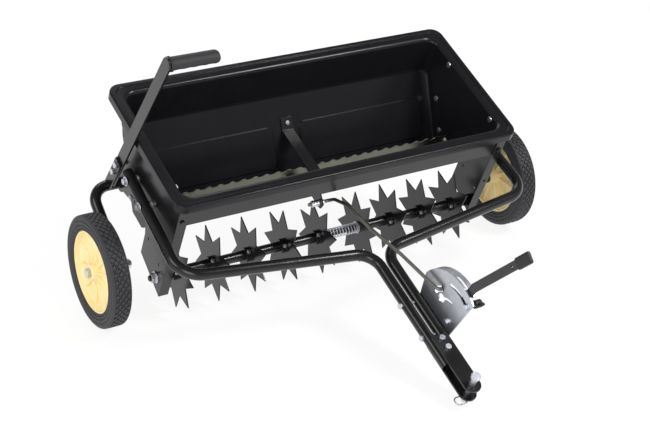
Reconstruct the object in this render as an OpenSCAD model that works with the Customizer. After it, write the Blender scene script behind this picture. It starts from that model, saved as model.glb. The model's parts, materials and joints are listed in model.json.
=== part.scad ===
// Tow-behind spike aerator with a drop hopper. Every piece is drawn level, with X to the right as
// seen from the front, Y to the rear, Z up and the wheels on Z = 0. The stand() module then pitches
// the whole machine onto its two wheels and the foot of its hitch pin. Sizes are in millimetres.

/* [Hopper] */
// Inside width of the hopper at the top
hopper_w = 828; // [800:1:860]
// Inside depth of the hopper at the top, front to back
hopper_d = 318; // [306:1:330]
// Height of the rim above the wheel bottoms
rim_z = 386; // [382:1:392]
// Width of the rim
rim_w = 31; // [29:1:35]
// Width of the raised band along the outside of the rim
band_w = 11; // [9:0.5:13]
// Drop from that band to the ledge inside it
step_h = 3; // [2:0.5:4]
// Height of the turned-down lip of the rim
lip_h = 20; // [16:1:24]
// Wall thickness of the moulded hopper
wall = 3; // [2.5:0.5:4]
// Inside corner radius of the hopper
corner_r = 25; // [18:1:32]
// Depth of the upper walls below the rim
fold_drop = 92; // [86:1:98]
// How far the upper walls lean in over that depth
fold_in = 12; // [9:1:15]
// Height of the hopper floor
floor_z = 150; // [147:1:153]
// Distance of the front edge of the floor ahead of the middle
floor_front = 33; // [29:1:37]
// Distance of the rear edge of the floor behind the middle
floor_back = 19; // [15:1:23]
// Height of the cross brace inside the hopper
brace_z = 233; // [226:1:240]
// Width of the cross brace
brace_w = 30; // [24:1:36]
// Number of outlet ports
port_n = 10; // [8:1:10]
// Width of each outlet port
port_w = 44; // [36:1:50]
// Height of each outlet port along the slope
port_h = 16; // [12:1:18]

/* [Agitator] */
// Height of the agitator pins
agitator_z = 190; // [187:1:194]
// Height of the toothed strip
agitator_h = 44; // [40:1:45]
// Spacing of the scallops along the strip
tooth_pitch = 30; // [26:1:36]
// Diameter of the agitator end pins
agitator_pin_d = 8; // [7:0.5:9]

/* [Side plates] */
// Gap between each hopper end wall and its side plate
plate_gap = 9; // [8:0.5:11]
// Thickness of the side plates
plate_t = 3; // [2.5:0.5:4]
// Distance of the front flanges ahead of the middle
plate_front = 178; // [175:1:181]
// Height of the foot of the side plates
plate_foot = 82; // [79:1:86]
// Width of the front flanges
flange_w = 24; // [22:1:28]
// Height of the lower edge of the front panel
panel_z = 308; // [303:1:314]

/* [Drawbar] */
// Outside diameter of the drawbar and axle tubes
tube_d = 25.4; // [24:0.2:27]
// Wall thickness of those tubes
tube_wall = 2; // [1.5:0.1:2.6]
// Height of the drawbar tubes
drawbar_z = 271; // [268:1:274]
// Position of the rear ends of the drawbar tubes
drawbar_back = 32; // [26:1:34]
// How far the side runs splay out by the front corner
drawbar_splay = 12.4; // [8:0.2:16]
// Distance of the outer corners ahead of the middle
corner_y = 274.5; // [262:0.5:288]
// Extra distance ahead of the inner corners
run_sweep = 62; // [50:1:74]
// Bend radius of the outer corners
bend_out = 57; // [48:1:66]
// Bend radius of the inner corners
bend_in = 50; // [42:1:58]
// Distance of the front ends of the tubes ahead of the middle
tongue_end = 661; // [655:1:668]

/* [Hitch] */
// Diameter of the hitch pin
hitch_pin_d = 12.7; // [11:0.1:14]
// Distance of the hitch pin ahead of the middle
hitch_y = 724.5; // [718:0.5:732]
// Height of the lower end of the hitch pin
hitch_foot = 230; // [226:1:233]
// Width of the hitch plates
hitch_w = 41; // [38:1:44]
// Thickness of the hitch plates
hitch_t = 5; // [4:0.5:6]
// Diameter of the hitch bolts
hitch_bolt_d = 6; // [5:0.5:6]
// Wire diameter of the hair pin
hair_d = 3.2; // [2.6:0.2:3.6]

/* [Flow control] */
// Distance of the lever pivot ahead of the middle
pivot_y = 571; // [568:1:574]
// Height of the lever pivot
pivot_z = 297; // [296:1:300]
// Radius of the quadrant rim
quad_r = 115; // [112:1:119]
// Thickness of the quadrant plate
quad_t = 3; // [2.5:0.5:4]
// Width of the control lever
lever_w = 19.5; // [18:0.5:21]
// Thickness of the control lever
lever_t = 5; // [4:0.5:6]
// Travel of the control lever in degrees
lever_throw = 18; // [16:1:19]
// Distance of the rod hole from the lever pivot
arm_r = 72; // [71:0.5:73]
// Diameter of the control rod
rod_d = 8; // [7:0.5:8.5]

/* [Spikes] */
// Diameter of the fixed spike axle
axle_d = 12.7; // [11.5:0.1:13.5]
// Distance of the spike axle ahead of the middle
shaft_y = 150; // [147:1:153]
// Height of the spike axle
shaft_z = 118; // [116:1:121]
// Outside diameter of the spinning tubes
spin_d = 24; // [22:0.5:26]
// Radius of the star tips
star_r = 87.5; // [84:0.5:90]
// Radius of the star roots
root_r = 52; // [46:1:58]
// Number of points on each star
star_n = 8; // [7:1:9]
// Thickness of the stars
star_t = 3; // [2.5:0.5:4]
// Extra room for the spring between the two middle stars
spring_room = 20; // [16:1:30]
// Wire diameter of the centre spring
wire_d = 3; // [2.4:0.2:3.4]
// Outside diameter of the centre spring
spring_d = 26; // [24:0.5:29]
// Number of curls of the centre spring
curls = 13; // [11:1:14]

/* [Wheels and lift] */
// Outside diameter of the wheels
wheel_d = 254; // [248:1:260]
// Width of the tyres
tyre_w = 45; // [41:1:48]
// Radius of the hubs where the tyres sit
hub_r = 93; // [89:1:97]
// Number of ribs on each face of a hub
rib_n = 10; // [8:1:12]
// Distance of the wheel axle ahead of the middle
wheel_y = 103; // [100:1:106]
// Diameter of the wheel bolts
wheel_bolt_d = 12.7; // [11.5:0.1:13.5]
// Distance of the lift axle behind the middle
lift_y = 80; // [77:1:83]
// Height of the lift axle
lift_z = 183; // [180:1:186]
// Bend radius of the lift axle
lift_bend = 40; // [36:1:44]
// Distance between each side plate and the axle leg beside it
leg_gap = 68; // [65:1:72]
// Width of the lift handle bar
handle_w = 30; // [26:1:34]
// Thickness of the lift handle bar
handle_t = 5; // [4:0.5:6]
// Length of the lift handle from the lift axle
handle_len = 487; // [470:1:500]
// Forward lean of the lift handle in degrees
handle_lean = 14; // [12:0.5:16]

/* [Clearances] */
// Radial clearance of turning and sliding fits
run_fit = 0.05; // [0.03:0.01:0.08]
// Gap between sliding sheets
slide_gap = 0.3; // [0.25:0.05:0.5]
// Radial clearance of bolts in their holes
bolt_fit = 0.1; // [0.05:0.05:0.2]

/* [Hidden] */
$fn = 48;
tube_r = tube_d / 2;
wheel_r = wheel_d / 2;
wheel_z = wheel_r;
fold_z = rim_z - fold_drop;
fold_y = hopper_d / 2 - fold_in;
front_ang = atan2(fold_z - floor_z, fold_y - floor_front);
back_ang = atan2(fold_z - floor_z, fold_y - floor_back);
back_len = norm([fold_y - floor_back, fold_z - floor_z]);
end_x = hopper_w / 2 + wall;
plate_in = end_x + plate_gap;
plate_out = plate_in + plate_t;
plate_top = rim_z - step_h - wall - 3;
panel_y = -plate_front + plate_t;
bolt6 = 3;
bolt8 = 4;
drawbar_x = plate_out + tube_r + 1.3;
tongue_x = tube_r + hitch_bolt_d / 2 + 0.3;
tongue_out = tongue_x + tube_r;
quad_x = tongue_out;
lever_x = quad_x + quad_t + 2.3;
lever_lean = 8.7;
lever_r1 = 135;
lever_lean2 = 24;
lever_len2 = 215;
slide_ang = front_ang;
arm_ang = slide_ang - lever_throw / 2;
slide_len = 2 * arm_r * sin(lever_throw / 2);
hook_y = -pivot_y + arm_r * sin(arm_ang);
hook_z = pivot_z + arm_r * cos(arm_ang);
hook_hole = rod_d / 2 + 1.6;
stop_r = quad_r - 25;
stop_sleeve = 6.5;
stop_ang = lever_lean + asin((lever_w / 2 + stop_sleeve + 0.3) / stop_r);
sheet_t = 1.5;
shut_in = wall + slide_gap;
shut_out = shut_in + sheet_t;
shut_half = hopper_w / 2 - 36;
tab_s = 160;
tab_off = 31.4;
tab_x = -50;
tab_t = 4;
end_y = -floor_front - tab_s * cos(front_ang) - tab_off * sin(front_ang);
end_z = floor_z + tab_s * sin(front_ang) - tab_off * cos(front_ang);
star_x0 = plate_in - 60;
left_n = 5;
right_n = 4;
star_pitch = (2 * star_x0 - spring_room) / (left_n + right_n - 1);
collar_l = 10;
collar_r = spin_d / 2 + 5;
spin_in = spin_d / 2 - 2;
spin_end = plate_in - 16;
left_x0 = plate_in - 45;
left_pitch = star_pitch + (left_x0 - star_x0 - 2) / (left_n - 1);
left_end = -left_x0 + (left_n - 1) * left_pitch + star_t / 2 + 3.5;
right_start = star_x0 - (right_n - 1) * star_pitch - star_t / 2;
washer_t = 2.5;
spring_a = left_end + 0.5 + washer_t;
spring_b = right_start - 0.5 - washer_t;
spring_m = (spring_d - wire_d) / 2;
leg_x = plate_out + leg_gap;
leg_dy = -wheel_y - lift_y;
leg_dz = wheel_z - lift_z;
leg_len = norm([leg_dy, leg_dz]);
leg_ang = atan2(leg_dz, leg_dy);
boss_in = leg_x - tube_r - 2;
boss_out = leg_x + tube_r + 0.5;
hub_in = boss_out + 1;
tyre_in = boss_out + 13;
tyre_mid = tyre_in + tyre_w / 2;
hub_out = tyre_in + tyre_w;
handle_x = -(hopper_w / 2 + rim_w + 3.5 + handle_t);
shoulder_r = hitch_pin_d / 2 + 1.2;
upper_z = drawbar_z + tube_r;
lower_z = drawbar_z - tube_r - hitch_t;
hair_z = lower_z - hair_d / 2 - 0.6;
function lever_p1() = [-lever_r1 * sin(lever_lean), lever_r1 * cos(lever_lean)];
function lever_dir2() = [-sin(lever_lean2), cos(lever_lean2)];
function arm_at(r, part) = [r * sin(arm_ang - part * (arm_ang + lever_lean)),
    r * cos(arm_ang - part * (arm_ang + lever_lean))];
// Pitch of the standing machine, from the hitch pin foot and the wheel radius
foot_dy = -hitch_y - hitch_pin_d / 2 + wheel_y;
foot_dz = hitch_foot - wheel_z;
pitch = acos(-wheel_r / norm([foot_dy, foot_dz])) + atan2(foot_dy, foot_dz);
stand_z = wheel_r + wheel_y * sin(pitch) - wheel_z * cos(pitch);
grip_y = -pivot_y + lever_p1()[0] + (lever_len2 + 3) * lever_dir2()[0]
    - (lever_w / 2 + 3) * cos(lever_lean2);
grip_z = pivot_z + lever_p1()[1] + (lever_len2 + 3) * lever_dir2()[1]
    - (lever_w / 2 + 3) * sin(lever_lean2);
nose = min((-hitch_y - hitch_w / 2) * cos(pitch) - (upper_z + hitch_t) * sin(pitch),
    grip_y * cos(pitch) - grip_z * sin(pitch));
tail = (hopper_d / 2 + rim_w) * cos(pitch) - (rim_z - lip_h) * sin(pitch);
stand_y = -(nose + tail) / 2;

echo(pitch = pitch, stand_y = stand_y, stand_z = stand_z, arm_ang = arm_ang, front_ang = front_ang);
echo(top = [top_y, top_z], quad_x = quad_x, lever_x = lever_x, plate_out = plate_out);
echo(slide_len = slide_len, hook = [hook_y, hook_z], rod_end = [end_y, end_z], leg_len = leg_len);

// Puts the level machine on the floor, middle of its plan outline over the origin.
module stand() {
    translate([0, stand_y, stand_z])
        rotate([pitch, 0, 0])
            children();
}

// Local plane turned so that its axes run along Y and Z and its thickness along X.
module yz(x0) {
    translate([x0, 0, 0])
        rotate([90, 0, 90])
            children();
}

// Round bar along X.
module xbar(x0, x1, y, z, r) {
    translate([x0, y, z])
        rotate([0, 90, 0])
            cylinder(h = x1 - x0, r = r);
}

// Hexagon along X, given across the flats.
module xhex(x0, x1, y, z, af) {
    translate([x0, y, z])
        rotate([0, 90, 0])
            cylinder(h = x1 - x0, r = af / sqrt(3), $fn = 6);
}

// Straight bar in a plane between two points.
module bar2d(p, q, w) {
    d = q - p;
    translate(p)
        rotate(atan2(d[1], d[0]))
            translate([0, -w / 2])
                square([norm(d), w]);
}

// Rounded rectangle about the origin.
module rrect(w, d, r) {
    square([w - 2 * r, d], center = true);
    square([w, d - 2 * r], center = true);
    for (sx = [-1, 1], sy = [-1, 1])
        translate([sx * (w / 2 - r), sy * (d / 2 - r)])
            circle(r = r);
}

// Thin rounded slab between two Y values.
module slab(w, y0, y1, r, z) {
    translate([0, (y0 + y1) / 2, z])
        linear_extrude(height = 0.01)
            rrect(w, y1 - y0, r, $fn = 32);
}

// Ring sector about the origin, angles in degrees from the first axis.
module sector(r0, r1, a0, a1, h) {
    rotate([0, 0, a0])
        rotate_extrude(angle = a1 - a0)
            translate([r0, 0])
                square([r1 - r0, h]);
}

// Local frame on the inside of the front slope: second axis up the slope, third axis outward.
module on_front() {
    translate([0, -floor_front, floor_z])
        rotate([180 - front_ang, 0, 0])
            children();
}

// Local frame on the inside of the back slope: second axis up the slope, third axis inward.
module on_back() {
    translate([0, floor_back, floor_z])
        rotate([back_ang, 0, 0])
            children();
}

// Each bend is a hair thicker than the straight runs, whose ends are buried in it.
swell = 0.05;
bury = 0.3;

function unit(v) = v / norm(v);
function turn(a, b) = atan2(a[0] * b[1] - a[1] * b[0], a[0] * b[0] + a[1] * b[1]);

// Round bar bent in a plane through the points p, with its bend radius rb at each inner point.
module bent_bar(p, rb, r, more) {
    n = len(p);
    t = [for (i = [0:n - 1]) (i == 0 || i == n - 1) ? -more
        : rb[i] * tan(abs(turn(p[i] - p[i - 1], p[i + 1] - p[i])) / 2)];
    for (i = [0:n - 2]) {
        d = unit(p[i + 1] - p[i]);
        b0 = i == 0 ? 0 : bury;
        b1 = i == n - 2 ? 0 : bury;
        a = p[i] + d * (t[i] - b0);
        translate([a[0], a[1], 0])
            rotate([0, 90, atan2(d[1], d[0])])
                cylinder(h = norm(p[i + 1] - p[i]) - t[i] - t[i + 1] + b0 + b1, r = r);
    }
    for (i = [1:n - 2]) {
        d1 = unit(p[i] - p[i - 1]);
        d2 = unit(p[i + 1] - p[i]);
        a = turn(d1, d2);
        c = p[i] - d1 * t[i] + sign(a) * rb[i] * [-d1[1], d1[0]];
        s = a > 0 ? p[i] - d1 * t[i] - c : p[i] + d2 * t[i] - c;
        translate([c[0], c[1], 0])
            rotate([0, 0, atan2(s[1], s[0])])
                rotate_extrude(angle = abs(a))
                    translate([rb[i], 0])
                        circle(r = r + swell);
    }
}

// Round wire bent in space through the points p, with its bend radius rb at each inner point.
module bent_wire(p, rb, r) {
    n = len(p);
    d = [for (i = [0:n - 2]) unit(p[i + 1] - p[i])];
    t = [for (i = [0:n - 1]) (i == 0 || i == n - 1) ? 0 : rb[i] * tan(acos(d[i - 1] * d[i]) / 2)];
    for (i = [0:n - 2]) {
        b0 = i == 0 ? 0 : bury;
        b1 = i == n - 2 ? 0 : bury;
        translate(p[i] + d[i] * (t[i] - b0))
            rotate([0, acos(d[i][2]), atan2(d[i][1], d[i][0])])
                cylinder(h = norm(p[i + 1] - p[i]) - t[i] - t[i + 1] + b0 + b1, r = r);
    }
    for (i = [1:n - 2]) {
        a = d[i - 1];
        m = unit(d[i] - a * (a * d[i]));
        k = cross(a, m);
        c = p[i] - a * t[i] + m * rb[i];
        multmatrix([[-m[0], a[0], k[0], c[0]], [-m[1], a[1], k[1], c[1]],
            [-m[2], a[2], k[2], c[2]], [0, 0, 0, 1]])
            rotate_extrude(angle = acos(a * d[i]))
                translate([rb[i], 0])
                    circle(r = r + swell);
    }
}

module tub_outer() {
    fo = wall / sin(front_ang);
    bo = wall / sin(back_ang);
    hull() {
        slab(2 * end_x, -hopper_d / 2 - wall, hopper_d / 2 + wall, corner_r + wall, rim_z - 0.01);
        slab(2 * end_x, -fold_y - fo, fold_y + bo, corner_r + wall, fold_z);
    }
    hull() {
        slab(2 * end_x, -fold_y - fo, fold_y + bo, corner_r + wall, fold_z);
        slab(2 * end_x, -floor_front - fo + wall / tan(front_ang),
            floor_back + bo - wall / tan(back_ang), 15, floor_z - wall);
    }
}

module tub_inner() {
    hull() {
        slab(hopper_w, -hopper_d / 2, hopper_d / 2, corner_r, rim_z);
        slab(hopper_w, -fold_y, fold_y, corner_r, fold_z);
    }
    hull() {
        slab(hopper_w, -fold_y, fold_y, corner_r, fold_z);
        slab(hopper_w, -floor_front, floor_back, 12, floor_z);
    }
}

// Places of the four bolts in each hopper end wall: two at the top, two in the axle bracket.
top_bolts = [[hopper_d / 2 - 86, rim_z - 15], [41 - hopper_d / 2, rim_z - 17]];
bracket_bolts = [[70, 261], [20, 199]];
agitator_y = -10;

module hopper_tub() {
    color([0.05, 0.05, 0.055])
    difference() {
        union() {
            tub_outer();
            translate([0, 0, rim_z - step_h - wall])
                linear_extrude(height = step_h + wall)
                    rrect(hopper_w + 2 * rim_w, hopper_d + 2 * rim_w, corner_r + 3);
            translate([0, 0, rim_z - lip_h])
                difference() {
                    linear_extrude(height = lip_h)
                        rrect(hopper_w + 2 * rim_w, hopper_d + 2 * rim_w, corner_r + 3);
                    translate([0, 0, -1])
                        linear_extrude(height = lip_h)
                            rrect(hopper_w + 2 * rim_w - 2 * wall, hopper_d + 2 * rim_w - 2 * wall,
                                corner_r + 3 - wall);
                }
            for (b = top_bolts) {
                xbar(end_x - 1, plate_in, b[0], b[1], 9);
                xbar(-plate_in, 1 - end_x, b[0], b[1], 9);
            }
        }
        difference() {
            tub_inner();
            for (sx = [-1, 1])
                on_back()
                    translate([sx * (hopper_w / 4 + 3), back_len - 118, -1])
                        linear_extrude(height = 2.2)
                            rrect(hopper_w / 2 - 66, 100, 12);
        }
        translate([0, 0, rim_z - step_h])
            linear_extrude(height = step_h + 1)
                rrect(hopper_w + 2 * (rim_w - band_w), hopper_d + 2 * (rim_w - band_w),
                    corner_r + 3 - band_w);
        for (b = concat(top_bolts, bracket_bolts))
            xbar(-plate_in - 1, plate_in + 1, b[0], b[1], bolt6 + bolt_fit);
        xbar(-end_x - 1, end_x + 1, agitator_y, agitator_z, agitator_pin_d / 2 + 3);
        on_front()
            for (i = [0:port_n - 1])
                translate([(i - (port_n - 1) / 2) * port_step - port_w / 2, 14, -2])
                    cube([port_w, port_h, wall + 4]);
        on_front()
            translate([brace_x, brace_sf + 16, -1])
                cylinder(h = wall + 2, r = bolt6 + bolt_fit);
        on_back()
            translate([brace_x, brace_sb + 16, -wall - 1])
                cylinder(h = wall + 2, r = bolt6 + bolt_fit);
    }
}

port_step = (2 * shut_half - 54) / port_n;
brace_x = 4;
brace_t = 4;
brace_sf = (brace_z - floor_z) / sin(front_ang);
brace_sb = (brace_z - floor_z) / sin(back_ang);

module front_panel() {
    color([0.2, 0.2, 0.21])
    difference() {
        union() {
            translate([-plate_in + 2, panel_y, panel_z])
                cube([2 * plate_in - 4, 2, plate_top - panel_z]);
            translate([-plate_in + 30, panel_y, panel_z])
                cube([2 * plate_in - 60, 9, 2]);
        }
        for (sx = [-1, 1])
            translate([sx * panel_bolt_x, panel_y - 1, panel_z + 17])
                rotate([-90, 0, 0])
                    cylinder(h = 4, r = bolt6 + bolt_fit);
    }
}

panel_bolt_x = plate_out - flange_w / 2;
arm_z = 250;

module side_plate() {
    difference() {
        union() {
            yz(plate_in)
                linear_extrude(height = plate_t)
                    polygon([[-plate_front, plate_foot], [-plate_front, plate_top], [126, plate_top],
                        [126, 349], [119, 331], [98, 317], [88, arm_z], [-58, arm_z], [-60, 205],
                        [-69, 174], [-70, plate_foot + 31]]);
            translate([plate_out - flange_w, -plate_front, plate_foot])
                cube([flange_w, plate_t, plate_top - plate_foot - 8]);
        }
        for (b = concat(top_bolts, [bracket_bolts[0]]))
            xbar(plate_in - 1, plate_out + 1, b[0], b[1], bolt6 + bolt_fit);
        xbar(plate_in - 1, plate_out + 1, -shaft_y, shaft_z, axle_d / 2 + bolt_fit);
        for (y = drawbar_bolt_y)
            xbar(plate_in - 1, plate_out + 1, y, drawbar_z, bolt8 + bolt_fit);
        for (p = [[-96, 214], [-88, 178], [-150, 160]])
            xbar(plate_in - 1, plate_out + 1, p[0], p[1], 3.5);
        translate([panel_bolt_x, -plate_front - 1, panel_z + 17])
            rotate([-90, 0, 0])
                cylinder(h = plate_t + 2, r = bolt6 + bolt_fit);
        translate([panel_bolt_x, -plate_front - 1, panel_z - 90])
            rotate([-90, 0, 0])
                cylinder(h = plate_t + 2, r = 3.5);
    }
}

drawbar_bolt_y = [-70, 8];

module side_plate_left() {
    color([0.1, 0.1, 0.11])
        mirror([1, 0, 0])
            side_plate();
}

module side_plate_right() {
    color([0.1, 0.1, 0.11])
        side_plate();
}

// Points in the YZ plane: s up the front or back slope from the floor, t in from its surface.
function front_at(s, t) = [-floor_front - s * cos(front_ang) + t * sin(front_ang),
    floor_z + s * sin(front_ang) + t * cos(front_ang)];
function back_at(s, t) = [floor_back + s * cos(back_ang) - t * sin(back_ang),
    floor_z + s * sin(back_ang) + t * cos(back_ang)];

module hopper_brace() {
    under = brace_z - brace_t / 2 - floor_z;
    over = brace_z + brace_t / 2 - floor_z;
    color([0.12, 0.12, 0.13])
    difference() {
        yz(brace_x - brace_w / 2)
            linear_extrude(height = brace_w)
                polygon([front_at(brace_sf + 30, 0), front_at(under / sin(front_ang), 0),
                    back_at(under / sin(back_ang), 0), back_at(brace_sb + 30, 0),
                    back_at(brace_sb + 30, brace_t),
                    back_at((over - brace_t * cos(back_ang)) / sin(back_ang), brace_t),
                    front_at((over - brace_t * cos(front_ang)) / sin(front_ang), brace_t),
                    front_at(brace_sf + 30, brace_t)]);
        on_front()
            translate([brace_x, brace_sf + 16, -brace_t - 1])
                cylinder(h = brace_t + 2, r = bolt6 + bolt_fit);
        on_back()
            translate([brace_x, brace_sb + 16, -1])
                cylinder(h = brace_t + 2, r = bolt6 + bolt_fit);
    }
}

module hopper_bolts() {
    color([0.75, 0.76, 0.8]) {
        for (m = [0, 1])
            mirror([m, 0, 0]) {
                for (b = concat(top_bolts, [bracket_bolts[0]]))
                    wall_bolt(plate_out, b);
                wall_bolt(plate_in, bracket_bolts[1]);
                translate([panel_bolt_x, -plate_front - 4, panel_z + 17])
                    rotate([-90, 0, 0]) {
                        cylinder(h = 4, r = 10 / sqrt(3), $fn = 6);
                        translate([0, 0, 3])
                            cylinder(h = plate_t + 9, r = bolt6);
                        translate([0, 0, 6 + plate_t])
                            cylinder(h = 5, r = 10 / sqrt(3), $fn = 6);
                    }
            }
        on_front()
            translate([brace_x, brace_sf + 16, -brace_t])
                brace_bolt();
        on_back()
            translate([brace_x, brace_sb + 16, brace_t])
                rotate([180, 0, 0])
                    brace_bolt();
    }
}

// Bolt through an end wall: round head inside the hopper, nut on the outermost sheet.
module wall_bolt(out_x, b) {
    xbar(hopper_w / 2 - 3, hopper_w / 2, b[0], b[1], 7);
    xbar(hopper_w / 2 - 1, out_x + 7, b[0], b[1], bolt6);
    xhex(out_x, out_x + 5, b[0], b[1], 10);
}

// Bolt through the brace and a slope, pointing along the third axis.
module brace_bolt() {
    translate([0, 0, -4])
        cylinder(h = 4, r = 10 / sqrt(3), $fn = 6);
    translate([0, 0, -1])
        cylinder(h = brace_t + wall + 8, r = bolt6);
    translate([0, 0, brace_t + wall])
        cylinder(h = 5, r = 10 / sqrt(3), $fn = 6);
}

module agitator_strip() {
    half = hopper_w / 2 - 9;
    n = floor((half - 20) / tooth_pitch);
    color([0.72, 0.73, 0.76]) {
        difference() {
            union() {
                translate([-half, agitator_y + 2, agitator_z - 12])
                    rotate([14, 0, 0])
                        translate([0, 0, 0])
                            cube([2 * half, 2, agitator_h]);
                translate([-half, agitator_y - 22, agitator_z - 12])
                    cube([2 * half, 25, 2]);
                for (sx = [0, 1])
                    mirror([sx, 0, 0])
                        xbar(half - 16, end_x + 7, agitator_y, agitator_z, agitator_pin_d / 2);
            }
            for (i = [-n:n])
                translate([i * tooth_pitch, agitator_y + 2, agitator_z - 12])
                    rotate([14, 0, 0])
                        translate([0, -1, agitator_h + 3])
                            rotate([-90, 0, 0])
                                cylinder(h = 4, r = tooth_pitch * 0.36);
        }
    }
}

module agitator_bushes() {
    color([0.85, 0.85, 0.82])
        for (m = [0, 1])
            mirror([m, 0, 0])
                difference() {
                    union() {
                        xbar(hopper_w / 2 - 3, hopper_w / 2, agitator_y, agitator_z,
                            agitator_pin_d / 2 + 6);
                        xbar(hopper_w / 2 - 1, end_x + 3, agitator_y, agitator_z,
                            agitator_pin_d / 2 + 3);
                    }
                    xbar(hopper_w / 2 - 4, end_x + 4, agitator_y, agitator_z,
                        agitator_pin_d / 2 + run_fit);
                }
}

module shutter_plate() {
    color([0.15, 0.15, 0.16])
        on_front()
            difference() {
                translate([-shut_half, 4, shut_in])
                    cube([2 * shut_half, 68, sheet_t]);
                for (i = [0:port_n - 1])
                    translate([(i - (port_n - 1) / 2) * port_step - port_w / 2, 14, shut_in - 1])
                        cube([port_w, port_h, sheet_t + 2]);
            }
}

module shutter_rails() {
    color([0.1, 0.1, 0.11])
        on_front()
            for (m = [0, 1])
                mirror([m, 0, 0]) {
                    translate([shut_half + 0.5, 4, wall])
                        cube([8, 76, sheet_t + 2 * slide_gap]);
                    translate([shut_half - 10, 4, wall + sheet_t + 2 * slide_gap])
                        cube([18.5, 76, 1.5]);
                }
}

module shutter_arm() {
    color([0.06, 0.06, 0.065])
        on_front()
            difference() {
                union() {
                    translate([tab_x - 8, 40, shut_out])
                        cube([40, tab_s - 24, 3]);
                    yz(tab_x)
                        linear_extrude(height = tab_t)
                            polygon([[tab_s - 34, shut_out], [tab_s + 12, shut_out],
                                [tab_s + 12, tab_off + 8], [tab_s - 2, tab_off + 14],
                                [tab_s - 12, tab_off + 8]]);
                }
                xbar(tab_x - 1, tab_x + tab_t + 1, tab_s, tab_off, rod_d / 2 + bolt_fit);
            }
}

module control_rod() {
    p = [[lever_x + lever_t + 6, hook_y, hook_z], [quad_x - 11, hook_y, hook_z],
        [8, hook_y + 128, hook_z - 25], [-4, hook_y + 230, hook_z - 49],
        [-14, end_y - 51, end_z + 35], [-21, end_y - 13, end_z + 16],
        [-28, end_y, end_z], [-78, end_y, end_z]];
    color([0.62, 0.62, 0.64])
        bent_wire(p, [0, 10, 90, 90, 40, 20, 12, 0], rod_d / 2);
}

module rod_nuts() {
    color([0.75, 0.76, 0.8])
        for (x = [[tab_x - 22, tab_x], [tab_x + tab_t, tab_x + tab_t + 6]])
            difference() {
                xhex(x[0], x[1], end_y, end_z, 13);
                xbar(x[0] - 1, x[1] + 1, end_y, end_z, rod_d / 2);
            }
}

module drawbar_tube() {
    p = [[drawbar_x, drawbar_back], [drawbar_x + drawbar_splay, -corner_y],
        [tongue_x, -corner_y - run_sweep], [tongue_x, -tongue_end]];
    difference() {
        translate([0, 0, drawbar_z])
            bent_bar(p, [0, bend_out, bend_in, 0], tube_r, 0);
        translate([0, 0, drawbar_z])
            bent_bar(p, [0, bend_out, bend_in, 0], tube_r - tube_wall, 1);
        for (y = drawbar_bolt_y)
            xbar(drawbar_x - 20, drawbar_x + 30, y, drawbar_z, bolt8 + bolt_fit);
        for (y = tongue_bolt_y)
            xbar(0, tongue_out + 1, y, drawbar_z, bolt8 + bolt_fit);
    }
}

tongue_bolt_y = [-487, -578];

module drawbar_tube_left() {
    color([0.06, 0.06, 0.065])
        mirror([1, 0, 0])
            drawbar_tube();
}

module drawbar_tube_right() {
    color([0.06, 0.06, 0.065])
        drawbar_tube();
}

module drawbar_bolts() {
    lean = drawbar_splay / (drawbar_back + corner_y);
    color([0.75, 0.76, 0.8])
        for (m = [0, 1], y = drawbar_bolt_y)
            mirror([m, 0, 0]) {
                mid = drawbar_x + (drawbar_back - y) * lean;
                xbar(plate_out, mid - tube_r - 9 * lean, y, drawbar_z, 9);
                xbar(end_x + 1.2, mid + tube_r + 3, y, drawbar_z, bolt8);
                xhex(plate_in - 6.5, plate_in, y, drawbar_z, 13);
                xbar(mid + tube_r + 9 * lean, mid + tube_r + 2.2, y, drawbar_z, 11);
                xhex(mid + tube_r + 2.2, mid + tube_r + 8, y, drawbar_z, 13);
            }
}

module tongue_bolts() {
    color([0.75, 0.76, 0.8])
        for (y = tongue_bolt_y) {
            xhex(-tongue_out - 5.5, -tongue_out, y, drawbar_z, 13);
            xbar(-tongue_out - 1, quad_x + quad_t + 9, y, drawbar_z, bolt8);
            xhex(quad_x + quad_t, quad_x + quad_t + 6.5, y, drawbar_z, 13);
        }
}

hitch_back = -pivot_y - 20;
hitch_bolt_y = [-pivot_y - 31, -pivot_y - 56];

module hitch_plate(z) {
    difference() {
        translate([0, 0, z])
            linear_extrude(height = hitch_t) {
                translate([-hitch_w / 2, -hitch_y])
                    square([hitch_w, hitch_y + hitch_back]);
                translate([0, -hitch_y])
                    circle(r = hitch_w / 2);
            }
        translate([0, -hitch_y, z - 1])
            cylinder(h = hitch_t + 2, r = hitch_pin_d / 2 + run_fit);
        for (y = hitch_bolt_y)
            translate([0, y, z - 1])
                cylinder(h = hitch_t + 2, r = hitch_bolt_d / 2 + bolt_fit);
    }
}

module hitch_plate_upper() {
    color([0.07, 0.07, 0.075])
        hitch_plate(upper_z);
}

module hitch_plate_lower() {
    color([0.07, 0.07, 0.075])
        hitch_plate(lower_z);
}

module hitch_bolts() {
    color([0.75, 0.76, 0.8])
        for (y = hitch_bolt_y)
            translate([0, y, 0]) {
                translate([0, 0, upper_z + hitch_t])
                    cylinder(h = 6, r = 13 / sqrt(3), $fn = 6);
                translate([0, 0, lower_z - 9])
                    cylinder(h = upper_z + hitch_t - lower_z + 10, r = hitch_bolt_d / 2);
                translate([0, 0, lower_z - 6])
                    cylinder(h = 6, r = 13 / sqrt(3), $fn = 6);
            }
}

module hitch_pin() {
    color([0.78, 0.78, 0.8])
        difference() {
            translate([0, -hitch_y, 0]) {
                translate([0, 0, hitch_foot])
                    cylinder(h = upper_z + hitch_t + 5 - hitch_foot, r = hitch_pin_d / 2);
                translate([0, 0, upper_z + hitch_t + 0.1])
                    cylinder(h = 22, r = shoulder_r);
                translate([0, 0, upper_z + hitch_t + 21])
                    cylinder(h = 7, r = 10.5);
            }
            xbar(-20, 20, -hitch_y, hair_z, hair_d / 2 + run_fit);
        }
}

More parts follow.
